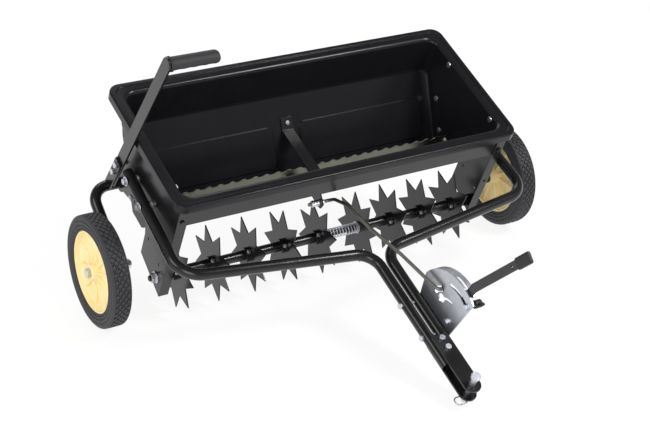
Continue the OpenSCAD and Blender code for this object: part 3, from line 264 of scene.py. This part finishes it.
# Bolts, nuts and washers: cold-headed steel, zinc plated. They hold the hopper, drawbar, hitch,
# quadrant, handle, wheels and stars.
# Zinc plate: bright blue-white metal with a fine crystalline cloud in its gloss, grains of about
# 1.5 mm, and no clear grain direction.
zinc, tree, shader, place = new_finish("zinc_plated_steel", Metallic=1.0)
CRYSTAL, CLOUD = 0.0015, 0.02
crystal = add(tree, "ShaderNodeTexVoronoi", {"Vector": place, "Scale": 1 / CRYSTAL})
cloud = add(tree, "ShaderNodeTexNoise", {"Vector": place, "Scale": 1 / CLOUD, "Detail": 4.0})
tint = add(tree, "ShaderNodeMix", {0: cloud.outputs["Fac"], 6: linear("#bfc2c9"),
                                   7: linear("#e4e7ee")}, data_type="RGBA")
gloss = add(tree, "ShaderNodeMapRange", {"Value": crystal.outputs["Distance"], "From Max": 0.8,
                                         "To Min": 0.30, "To Max": 0.44})
relief = add(tree, "ShaderNodeBump", {"Height": cloud.outputs["Fac"], "Strength": 0.06,
                                      "Distance": 0.0003})
tree.links.new(tint.outputs[2], shader.inputs["Base Color"])
tree.links.new(gloss.outputs[0], shader.inputs["Roughness"])
tree.links.new(relief.outputs[0], shader.inputs["Normal"])
for node in ("hopper_bolts", "drawbar_bolts", "tongue_bolts", "hitch_bolts", "quadrant_bolts",
             "rod_nuts", "axle_nuts", "spring_washers", "star_bolts_left", "star_bolts_right",
             "handle_bolts", "wheel_bolts"):
    dress(node, zinc, 0.6)
# The two bolts of the front panel are painted over with it; they are the foremost of their node.
PANEL_BOLTS_BEFORE_Y = 0.150
bolts = bpy.data.objects["hopper_bolts_made"].data
bolts.materials.append(powder_coat)
for face in bolts.polygons:
    face.material_index = 1 if face.center.y < PANEL_BOLTS_BEFORE_Y else 0

# Agitator strip and its bushes: a scalloped angle of galvanised sheet that lies in the bottom of
# the hopper and slides on end pins in nylon bushes. The shutter sheet behind the ports is plain.
# Galvanised sheet, weathered: dull olive-grey metal with cloudy spangles of about 8 mm.
dull_zinc, tree, shader, place = new_finish("galvanised_sheet_dull", Metallic=1.0)
SPANGLE = 0.008
spangle = add(tree, "ShaderNodeTexNoise", {"Vector": place, "Scale": 1 / SPANGLE, "Detail": 3.0})
tint = add(tree, "ShaderNodeMix", {0: spangle.outputs["Fac"], 6: linear("#79796f"),
                                   7: linear("#91918b")}, data_type="RGBA")
gloss = add(tree, "ShaderNodeMapRange", {"Value": spangle.outputs["Fac"], "To Min": 0.34,
                                         "To Max": 0.50})
tree.links.new(tint.outputs[2], shader.inputs["Base Color"])
tree.links.new(gloss.outputs[0], shader.inputs["Roughness"])
dress("agitator_strip", dull_zinc, 0.3)
dress("shutter_plate", dull_zinc, 0.3)
# Natural nylon: off-white, slightly waxy, with faint mottling.
nylon, tree, shader, place = new_finish("natural_nylon", IOR=1.53, Roughness=0.45)
MOTTLE = 0.006
mottle = add(tree, "ShaderNodeTexNoise", {"Vector": place, "Scale": 1 / MOTTLE, "Detail": 3.0})
tint = add(tree, "ShaderNodeMix", {0: mottle.outputs["Fac"], 6: linear("#d9d5c6"),
                                   7: linear("#ece9dd")}, data_type="RGBA")
tree.links.new(tint.outputs[2], shader.inputs["Base Color"])
for node in ("agitator_bushes", "spike_bushes_left", "spike_bushes_right"):
    dress(node, nylon, 0.4)

# Drawbar: two bent 25 mm tubes that run from the side plates to the tongue, and two flat plates
# over and under the tongue that make the hitch.
for node in ("drawbar_tube_left", "drawbar_tube_right"):
    dress(node, powder_coat)
for node in ("hitch_plate_upper", "hitch_plate_lower"):
    dress(node, powder_coat, 0.8, 3)
dress("hitch_pin", zinc, 1.2, 3)
dress("hair_pin", zinc)

# Flow control: a zinc quadrant bolted to the tongue, a flat black lever with a dipped grip, a wing
# knob that sets its stop, and the long bent rod that pulls the shutter.
quadrant = dress("quadrant_plate", zinc)
# The flange stops at the lever in the photo, so its short end beyond the lever is cut off, which
# leaves the knob in view.
QUAD_Y, QUAD_Z = -571, 297
TRIM_X, TRIM_R, TRIM_TURN, TRIM_SIZE = 45.9, 113.5, math.radians(20), (28.2, 20, 14)
trim = bmesh.new()
bmesh.ops.create_cube(trim, matrix=STANDING @ Matrix.Translation((TRIM_X, QUAD_Y, QUAD_Z))
                      @ Matrix.Rotation(TRIM_TURN, 4, "X") @ Matrix.Translation((0, 0, TRIM_R))
                      @ Matrix.Diagonal((*TRIM_SIZE, 1)))
carve(quadrant, trim)
dress("control_lever", powder_coat, 0.6)
dress("control_rod", dull_zinc)
# Dipped vinyl and moulded knobs: matt black, soft looking, with a slight leathery grain.
soft_black, tree, shader, place = new_finish("dipped_vinyl_black", IOR=1.52)
HIDE = 0.002
hide = add(tree, "ShaderNodeTexNoise", {"Vector": place, "Scale": 1 / HIDE, "Detail": 3.0})
tint = add(tree, "ShaderNodeMix", {0: hide.outputs["Fac"], 6: linear("#101012"),
                                   7: linear("#19191c")}, data_type="RGBA")
gloss = add(tree, "ShaderNodeMapRange", {"Value": hide.outputs["Fac"], "To Min": 0.42,
                                         "To Max": 0.62})
relief = add(tree, "ShaderNodeBump", {"Height": hide.outputs["Fac"], "Strength": 0.2,
                                      "Distance": 0.0002})
tree.links.new(tint.outputs[2], shader.inputs["Base Color"])
tree.links.new(gloss.outputs[0], shader.inputs["Roughness"])
tree.links.new(relief.outputs[0], shader.inputs["Normal"])
dress("shaft_bushes", soft_black, 0.6)
DIPPED_AT, DIPPED_LEAN = (36.5, -670.33, 607.68), math.radians(24)
DIPPED_SIZE, DIPPED_ROUND = (11, 25.5, 48), 4.2
dipped = bmesh.new()
bmesh.ops.create_cube(dipped, matrix=Matrix.Diagonal((*DIPPED_SIZE, 1)))
bmesh.ops.bevel(dipped, geom=dipped.edges[:], offset=DIPPED_ROUND, segments=5, profile=0.5,
                affect="EDGES", material=-1, clamp_overlap=True)
bmesh.ops.transform(dipped, matrix=Matrix.Translation(DIPPED_AT)
                    @ Matrix.Rotation(DIPPED_LEAN, 4, "X"), verts=dipped.verts)
put(dipped, ["lever_grip"], soft_black)
KNOB_AT, KNOB_STEPS = (31.7, -600.74, 381.94), ((0, 20, 6.5), (17, 34, 9))
WING_TURN, WING_X, WING_OUT, WING_HALF = math.radians(45), 27, 12, (6.5, 4.6, 10)
knob = bmesh.new()
for x0, x1, radius in KNOB_STEPS:
    bmesh.ops.create_cone(knob, cap_ends=True, segments=32, radius1=radius, radius2=radius,
                          depth=x1 - x0, matrix=Matrix.Translation(((x0 + x1) / 2, 0, 0))
                          @ Matrix.Rotation(math.pi / 2, 4, "Y"))
for end in (-1, 1):
    bmesh.ops.create_uvsphere(knob, u_segments=24, v_segments=14, radius=1,
                              matrix=Matrix.Rotation(WING_TURN, 4, "X")
                              @ Matrix.Translation((WING_X, 0, end * WING_OUT))
                              @ Matrix.Diagonal((*WING_HALF, 1)))
bmesh.ops.translate(knob, vec=KNOB_AT, verts=knob.verts)
put(knob, ["stop_knob"], soft_black, 1.0, 3)

# Spike axle: a fixed steel rod, with a black tube turning on each half. Each tube carries sheet
# steel stars, welded to collars and held by a set bolt.
# Oiled mild steel: dark grey metal with patches of oil film along the rod.
oiled_steel, tree, shader, place = new_finish("oiled_mild_steel", Metallic=1.0)
OIL_PATCH = 0.015
oil = add(tree, "ShaderNodeTexNoise", {"Vector": place, "Scale": 1 / OIL_PATCH, "Detail": 3.0})
tint = add(tree, "ShaderNodeMix", {0: oil.outputs["Fac"], 6: linear("#39393b"),
                                   7: linear("#505053")}, data_type="RGBA")
gloss = add(tree, "ShaderNodeMapRange", {"Value": oil.outputs["Fac"], "To Min": 0.28,
                                         "To Max": 0.42})
tree.links.new(tint.outputs[2], shader.inputs["Base Color"])
tree.links.new(gloss.outputs[0], shader.inputs["Roughness"])
dress("spike_axle", oiled_steel, 0.8)
for node in ("spike_tube_left", "spike_tube_right"):
    dress(node, powder_coat, 0.6)
for i in range(1, 10):
    dress(f"star_{i}", powder_coat, 0.5)

# Centre spring: 3 mm zinc-plated wire wound close at both ends and open between, on the axle
# between the two halves.
AXLE_Y, AXLE_Z = -150, 118
WIRE, COIL, SPRING_X0, SPRING_X1, END_RISE = 1.5, 11.5, -2.5, 93.0, 3.1
TURN_STEPS, OPEN_TURNS = 24, 11
spring = bmesh.new()
bmesh.ops.create_circle(spring, segments=10, radius=WIRE,
                        matrix=Matrix.Translation((SPRING_X0, COIL, 0)))
tip = spring.verts[:] + spring.edges[:]
open_rise = (SPRING_X1 - SPRING_X0 - 2 * END_RISE) / OPEN_TURNS
for turns, rise in ((1, END_RISE), (OPEN_TURNS, open_rise), (1, END_RISE)):
    steps = turns * TURN_STEPS
    tip = bmesh.ops.spin(spring, geom=tip, cent=(0, 0, 0), axis=(1, 0, 0),
                         angle=turns * 2 * math.pi, steps=steps,
                         dvec=(rise * turns / steps, 0, 0))["geom_last"]
bmesh.ops.holes_fill(spring, edges=[e for e in spring.edges if e.is_boundary], sides=12)
bmesh.ops.recalc_face_normals(spring, faces=spring.faces)
bmesh.ops.translate(spring, vec=(0, AXLE_Y, AXLE_Z), verts=spring.verts)
put(spring, ["centre_spring"], zinc, angle=60)

# Lift: a bent tube axle with two legs to the wheels, and a flat bar handle with a moulded grip.
dress("lift_axle", powder_coat)
dress("lift_handle", powder_coat, 0.8, 3)

# Handle grip: moulded rubber pushed on the bar's round end, an oval with a collar, a domed end and
# finger waves underneath.
# Moulded rubber: dark grey, matt, with a dusty bloom.
grip_rubber, tree, shader, place = new_finish("moulded_rubber_grey", IOR=1.52)
BLOOM, PORE = 0.012, 0.0015
bloom = add(tree, "ShaderNodeTexNoise", {"Vector": place, "Scale": 1 / BLOOM, "Detail": 4.0})
tint = add(tree, "ShaderNodeMix", {0: bloom.outputs["Fac"], 6: linear("#1e1d20"),
                                   7: linear("#2a292c")}, data_type="RGBA")
gloss = add(tree, "ShaderNodeMapRange", {"Value": bloom.outputs["Fac"], "To Min": 0.5,
                                         "To Max": 0.7})
pores = add(tree, "ShaderNodeTexNoise", {"Vector": place, "Scale": 1 / PORE, "Detail": 2.0})
relief = add(tree, "ShaderNodeBump", {"Height": pores.outputs["Fac"], "Strength": 0.2,
                                      "Distance": 0.0002})
tree.links.new(tint.outputs[2], shader.inputs["Base Color"])
tree.links.new(gloss.outputs[0], shader.inputs["Roughness"])
tree.links.new(relief.outputs[0], shader.inputs["Normal"])
GRIP_X0, GRIP_X1, GRIP_Y, GRIP_Z = -447.5, -334.5, -37.816, 655.534
GRIP_HALF_Y, GRIP_HALF_Z, WAVES, WAVE_DEEP = 15.5, 13.0, 4, 0.13
WAVE_FROM, WAVE_SPAN, WAVE_STEPS = 0.07, 0.83, 24
grip = bmesh.new()
bmesh.ops.create_circle(grip, segments=28, radius=1, cap_ends=True,
                        matrix=Matrix.Rotation(-math.pi / 2, 4, "Y"))
ring = list(grip.faces)[0]
stations = [(0.0, 1.12), (0.035, 1.16), (0.05, 1.02)]
stations += [(WAVE_FROM + WAVE_SPAN * i / WAVE_STEPS, 1.0) for i in range(WAVE_STEPS + 1)]
stations += [(0.93, 0.98), (0.96, 0.90), (0.985, 0.74), (1.0, 0.45)]
for station, (along, size) in enumerate(stations):
    if station > 0:
        ring = next_cap(grip, ring)
    waved = min(max((along - WAVE_FROM) / WAVE_SPAN, 0), 1)
    wave = WAVE_DEEP * math.sin(math.pi * WAVES * waved) ** 2
    count = len(ring.verts)
    for i, v in enumerate(ring.verts):
        turn = 2 * math.pi * i / count
        low = max(-math.sin(turn), 0) * wave
        v.co = (GRIP_X0 + along * (GRIP_X1 - GRIP_X0), GRIP_Y + GRIP_HALF_Y * size * math.cos(turn),
                GRIP_Z + GRIP_HALF_Z * size * (math.sin(turn) + low))
bmesh.ops.holes_fill(grip, edges=[e for e in grip.edges if e.is_boundary], sides=28)
bmesh.ops.recalc_face_normals(grip, faces=grip.faces)
put(grip, ["handle_grip"], grip_rubber, angle=50)

# Wheel hubs: yellow moulded plastic, a web between a rim and a long boss, stiffened by radial ribs
# inside and short gussets round the boss outside.
# Moulded polypropylene, yellow: glossy, with soft paler patches of about 30 mm from the moulding.
hub_yellow, tree, shader, place = new_finish("moulded_polypropylene_yellow", IOR=1.49)
SHADE = 0.03
shade = add(tree, "ShaderNodeTexNoise", {"Vector": place, "Scale": 1 / SHADE, "Detail": 3.0})
tint = add(tree, "ShaderNodeMix", {0: shade.outputs["Fac"], 6: linear("#f8e09a"),
                                   7: linear("#fcefc2")}, data_type="RGBA")
gloss = add(tree, "ShaderNodeMapRange", {"Value": shade.outputs["Fac"], "To Min": 0.28,
                                         "To Max": 0.42})
tree.links.new(tint.outputs[2], shader.inputs["Base Color"])
tree.links.new(gloss.outputs[0], shader.inputs["Roughness"])
WHEEL_X, WHEEL_Y, WHEEL_Z = 545.7, -103, 127
HUB_SECTION = ((-34.5, 6.4), (-34.5, 16.5), (-33, 18), (-5, 18.8), (-3, 24), (-3, 80), (-5, 85),
               (-9, 87.5), (-18.5, 88.5), (-18.5, 92.9), (18.5, 92.9), (18.5, 88.5), (9, 87.5),
               (5, 85), (2, 80), (3, 24), (5, 18.8), (21, 18), (22.5, 16.5), (22.5, 6.4))
RIBS, GUSSETS = 10, 10


def turned(bm, section, steps):
    """Spins a closed outline of (along the axle, radius) points round the X axis."""
    dots = [bm.verts.new((x, 0, r)) for x, r in section]
    lines = [bm.edges.new((a, b)) for a, b in zip(dots, dots[1:] + dots[:1])]
    bmesh.ops.spin(bm, geom=dots + lines, cent=(0, 0, 0), axis=(1, 0, 0), angle=2 * math.pi,
                   steps=steps, use_merge=True)
    bmesh.ops.recalc_face_normals(bm, faces=bm.faces)


def rib(bm, angle, thick, r0, r1, x_root, x_in, x_out):
    """One radial rib from radius r0 to r1, standing on x_root, with its height falling outwards."""
    made = bmesh.ops.create_cube(bm, size=1)["verts"]
    for v in made:
        outer = v.co.z > 0
        v.co.z = r1 if outer else r0
        v.co.x = x_root if v.co.x * (1 if x_in > x_root else -1) < 0 else (x_out if outer else x_in)
        v.co.y *= thick
    bmesh.ops.rotate(bm, cent=(0, 0, 0), matrix=Matrix.Rotation(angle, 3, "X"), verts=made)


def wheel_piece(bm, side, node, finish, edge=0.0, angle=38):
    """Mirrors a right-hand wheel piece for the left side if need be, and sets it on its axle."""
    if side < 0:
        bmesh.ops.scale(bm, vec=(-1, 1, 1), verts=bm.verts)
    bmesh.ops.recalc_face_normals(bm, faces=bm.faces)
    bmesh.ops.translate(bm, vec=(side * WHEEL_X, WHEEL_Y, WHEEL_Z), verts=bm.verts)
    put(bm, [node], finish, edge, angle=angle)


for side, hand in ((-1, "left"), (1, "right")):
    hub = bmesh.new()
    turned(hub, HUB_SECTION, 72)
    for i in range(RIBS):
        rib(hub, 2 * math.pi * i / RIBS, 3.6, 17, 87.8, -2, -14, -12)
    for i in range(GUSSETS):
        rib(hub, 2 * math.pi * (i + 0.5) / GUSSETS, 3.6, 17, 52, 2, 15, 4)
        rib(hub, 2 * math.pi * (i + 0.5) / GUSSETS, 3.0, 50, 87.8, 2, 4.5, 9)
    wheel_piece(hub, side, "hub_" + hand, hub_yellow, 0.8)

# Tyres: solid black rubber pressed on the hubs, with moulded rings on the side walls and a diamond
# tread of small blocks across the crown.
# Natural rubber: very dark grey, matt, with fine mould grain and a dusty bloom in patches.
tyre_rubber, tree, shader, place = new_finish("vulcanised_rubber_black", IOR=1.52)
DUST, MOULD_GRAIN = 0.025, 0.0018
dust = add(tree, "ShaderNodeTexNoise", {"Vector": place, "Scale": 1 / DUST, "Detail": 5.0})
grain = add(tree, "ShaderNodeTexNoise", {"Vector": place, "Scale": 1 / MOULD_GRAIN, "Detail": 2.0})
tint = add(tree, "ShaderNodeMix", {0: dust.outputs["Fac"], 6: linear("#262629"),
                                   7: linear("#37373b")}, data_type="RGBA")
gloss = add(tree, "ShaderNodeMapRange", {"Value": dust.outputs["Fac"], "To Min": 0.5,
                                         "To Max": 0.72})
relief = add(tree, "ShaderNodeBump", {"Height": grain.outputs["Fac"], "Strength": 0.25,
                                      "Distance": 0.0002})
tree.links.new(tint.outputs[2], shader.inputs["Base Color"])
tree.links.new(gloss.outputs[0], shader.inputs["Roughness"])
tree.links.new(relief.outputs[0], shader.inputs["Normal"])
WALL_SECTION = ((20.5, 93), (21.5, 96), (19.8, 97.6), (21.8, 99.2), (22.3, 103), (20.4, 105.0),
                (22.4, 107.0), (22.5, 112.6), (20.8, 114.4), (22.2, 116.2), (21.9, 120.0),
                (20.9, 123.6), (19.0, 125.9), (17.0, 126.5), (15.6, 124.6))
TREAD_R, BLOCKS, BLOCK_ROWS = 127, 48, (-13, -6.5, 0, 6.5, 13)
BLOCK_SIZE, BLOCK_DEEP, EDGE_ROW_DROP = (5.5, 7.0), 5, 0.3
for side, hand in ((-1, "left"), (1, "right")):
    tyre = bmesh.new()
    turned(tyre, WALL_SECTION + tuple((-x, r) for x, r in reversed(WALL_SECTION)), 120)
    for row, x in enumerate(BLOCK_ROWS):
        top = TREAD_R - (EDGE_ROW_DROP if abs(x) > 10 else 0.0)
        for i in range(BLOCKS):
            angle = 2 * math.pi * (i + 0.5 * (row % 2)) / BLOCKS
            bmesh.ops.create_cone(tyre, cap_ends=True, segments=4, radius1=1.0, radius2=0.84,
                                  depth=BLOCK_DEEP, matrix=Matrix.Rotation(angle, 4, "X")
                                  @ Matrix.Translation((x, 0, top - BLOCK_DEEP / 2))
                                  @ Matrix.Diagonal((*BLOCK_SIZE, 1, 1)))
    wheel_piece(tyre, side, "tyre_" + hand, tyre_rubber, angle=32)

# Studio: a pale floor with soft shadows, a plain grey surround and four soft lamps. The camera
# stands at the front left, above the machine, with a long lens.
FLOOR_HALF, FLOOR_GLOW, GLOW_SHARE = 30, 1.03, 0.84
SKY_LOW, SKY_HIGH, SKY_LIGHT = 0.45, 0.15, 0.55
LAMP_AIM = Vector((0, 0, 0.25))
floor_mesh = bmesh.new()
bmesh.ops.create_grid(floor_mesh, x_segments=1, y_segments=1, size=FLOOR_HALF)
floor_data = bpy.data.meshes.new("studio_floor")
floor_mesh.to_mesh(floor_data)
floor_mesh.free()
floor = bpy.data.objects.new("studio_floor", floor_data)
scene.collection.objects.link(floor)
paper, tree, shader, _ = new_finish("white_paper_floor", Roughness=0.9)
shader.inputs["Base Color"].default_value = linear("#f4f4f4")


def seen_rays(tree):
    """One for the rays that show the surroundings: camera, glossy and transmission."""
    rays = add(tree, "ShaderNodeLightPath")
    seen = add(tree, "ShaderNodeMath", {0: rays.outputs["Is Camera Ray"],
                                        1: rays.outputs["Is Glossy Ray"]}, operation="MAXIMUM")
    seen = add(tree, "ShaderNodeMath", {0: seen.outputs[0],
                                        1: rays.outputs["Is Transmission Ray"]},
               operation="MAXIMUM")
    return seen.outputs[0]


white = add(tree, "ShaderNodeEmission", {"Color": (1, 1, 1, 1), "Strength": FLOOR_GLOW})
share = add(tree, "ShaderNodeMath", {0: seen_rays(tree), 1: GLOW_SHARE}, operation="MULTIPLY")
blend = add(tree, "ShaderNodeMixShader", {0: share.outputs[0], 1: shader.outputs[0],
                                          2: white.outputs[0]})
tree.links.new(blend.outputs[0], tree.nodes["Material Output"].inputs["Surface"])
floor_data.materials.append(paper)

world = bpy.data.worlds.new("studio")
scene.world = world
world.use_nodes = True
tree = world.node_tree
sky = add(tree, "ShaderNodeSeparateXYZ",
          {0: add(tree, "ShaderNodeTexCoord").outputs["Generated"]}).outputs["Z"]
shown = add(tree, "ShaderNodeMapRange", {"Value": sky, "From Min": 0.2, "From Max": 0.7,
                                         "To Min": SKY_LOW, "To Max": SKY_HIGH},
            interpolation_type="SMOOTHSTEP")
level = add(tree, "ShaderNodeMix", {0: seen_rays(tree), 2: SKY_LIGHT, 3: shown.outputs[0]})
tree.nodes["Background"].inputs["Color"].default_value = (1, 1, 1, 1)
tree.links.new(level.outputs[0], tree.nodes["Background"].inputs["Strength"])

for name, where, size, power in (("key", (-2.1, -2.2, 1.7), 1.6, 34),
                                 ("softbox", (1.46, -1.3, 2.5), 0.7, 55),
                                 ("left", (-2.6, 0.2, 2.2), 1.4, 22),
                                 ("back", (0.4, 2.4, 2.4), 2.0, 22)):
    lamp = bpy.data.lights.new(name, "AREA")
    lamp.energy, lamp.size = power, size
    light = bpy.data.objects.new(name, lamp)
    light.location = where
    aim = LAMP_AIM - Vector(where)
    light.rotation_euler = aim.to_track_quat("-Z", "Y").to_euler()
    scene.collection.objects.link(light)

RIGHT, UP, BACK = ((0.8498, -0.5235, 0.0607), (0.2035, 0.4321, 0.8786), (-0.4862, -0.7343, 0.4739))
CAMERA_AT, SENSOR, FOCAL = (-1.68586, -2.32408, 1.81257), 36.0, 83.04
lens = bpy.data.cameras.new("camera")
lens.sensor_width, lens.lens = SENSOR, FOCAL
camera = bpy.data.objects.new("camera", lens)
turn = Matrix((RIGHT, UP, BACK)).transposed().to_4x4()
camera.matrix_world = Matrix.Translation(CAMERA_AT) @ turn
lens.clip_start, lens.clip_end = 0.1, 100
scene.collection.objects.link(camera)
scene.camera = camera
scene.view_settings.view_transform = "Standard"

bpy.context.view_layer.update()
